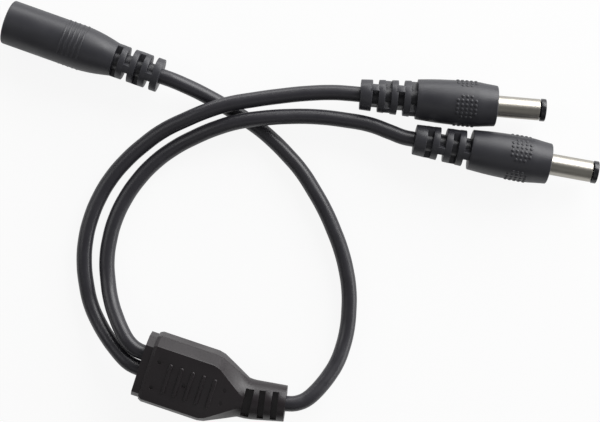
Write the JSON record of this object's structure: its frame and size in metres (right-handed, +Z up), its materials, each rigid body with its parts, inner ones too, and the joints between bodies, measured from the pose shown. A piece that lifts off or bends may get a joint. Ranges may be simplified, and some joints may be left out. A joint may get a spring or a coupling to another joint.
{
  "type": "y splitter cable",
  "caption": "Y splitter power cable: an inline barrel jack on one cord feeds barrel plugs on branch cords through a flat moulded junction block, each moulding with a segmented strain relief.",
  "frame": {"origin": "centre of the bounding box of the jack, the plugs and the junction block, on the flat surface that the cable lies on", "axes": "+X from the jack's side to the plugs' side, along the mouldings' longest extent; +Y across the lying cable, from the junction block towards the jack; +Z up from the surface that the cable lies on, along the mouldings' shortest extent"},
  "size_m": [0.1535, 0.1078, 0.0141],
  "materials": {
    "mould": "satin charcoal soft PVC",
    "junction_mould": "satin near-black soft PVC",
    "cord": "satin extruded PVC jacket",
    "housing": "smooth black moulded plastic",
    "inner_mould": "plain off-white moulded plastic",
    "nickel": "bright nickel plate",
    "brass": "plain brass",
    "red_core": "red PVC insulation",
    "black_core": "black PVC insulation"
  },
  "bodies": {
    "root": {"jack_overmould": "mould", "jack_housing": "housing", "jack_centre_pin": "nickel", "jack_sleeve_spring": "nickel", "jack_red_core": "red_core", "jack_black_core": "black_core", "plug_a_overmould": "mould", "plug_a_barrel": "nickel", "plug_a_insulator": "housing", "plug_a_contact": "brass", "plug_a_red_core": "red_core", "plug_a_black_core": "black_core", "plug_b_overmould": "mould", "plug_b_barrel": "nickel", "plug_b_insulator": "housing", "plug_b_contact": "brass", "plug_b_red_core": "red_core", "plug_b_black_core": "black_core", "junction_overmould": "junction_mould", "junction_inner_mould": "inner_mould", "junction_red_splice": "brass", "junction_black_splice": "brass", "junction_trunk_red_core": "red_core", "junction_trunk_black_core": "black_core", "junction_branch_a_red_core": "red_core", "junction_branch_a_black_core": "black_core", "junction_branch_b_red_core": "red_core", "junction_branch_b_black_core": "black_core", "trunk_cord": "cord", "branch_a_cord": "cord", "branch_b_cord": "cord"}
  },
  "joints": []
}
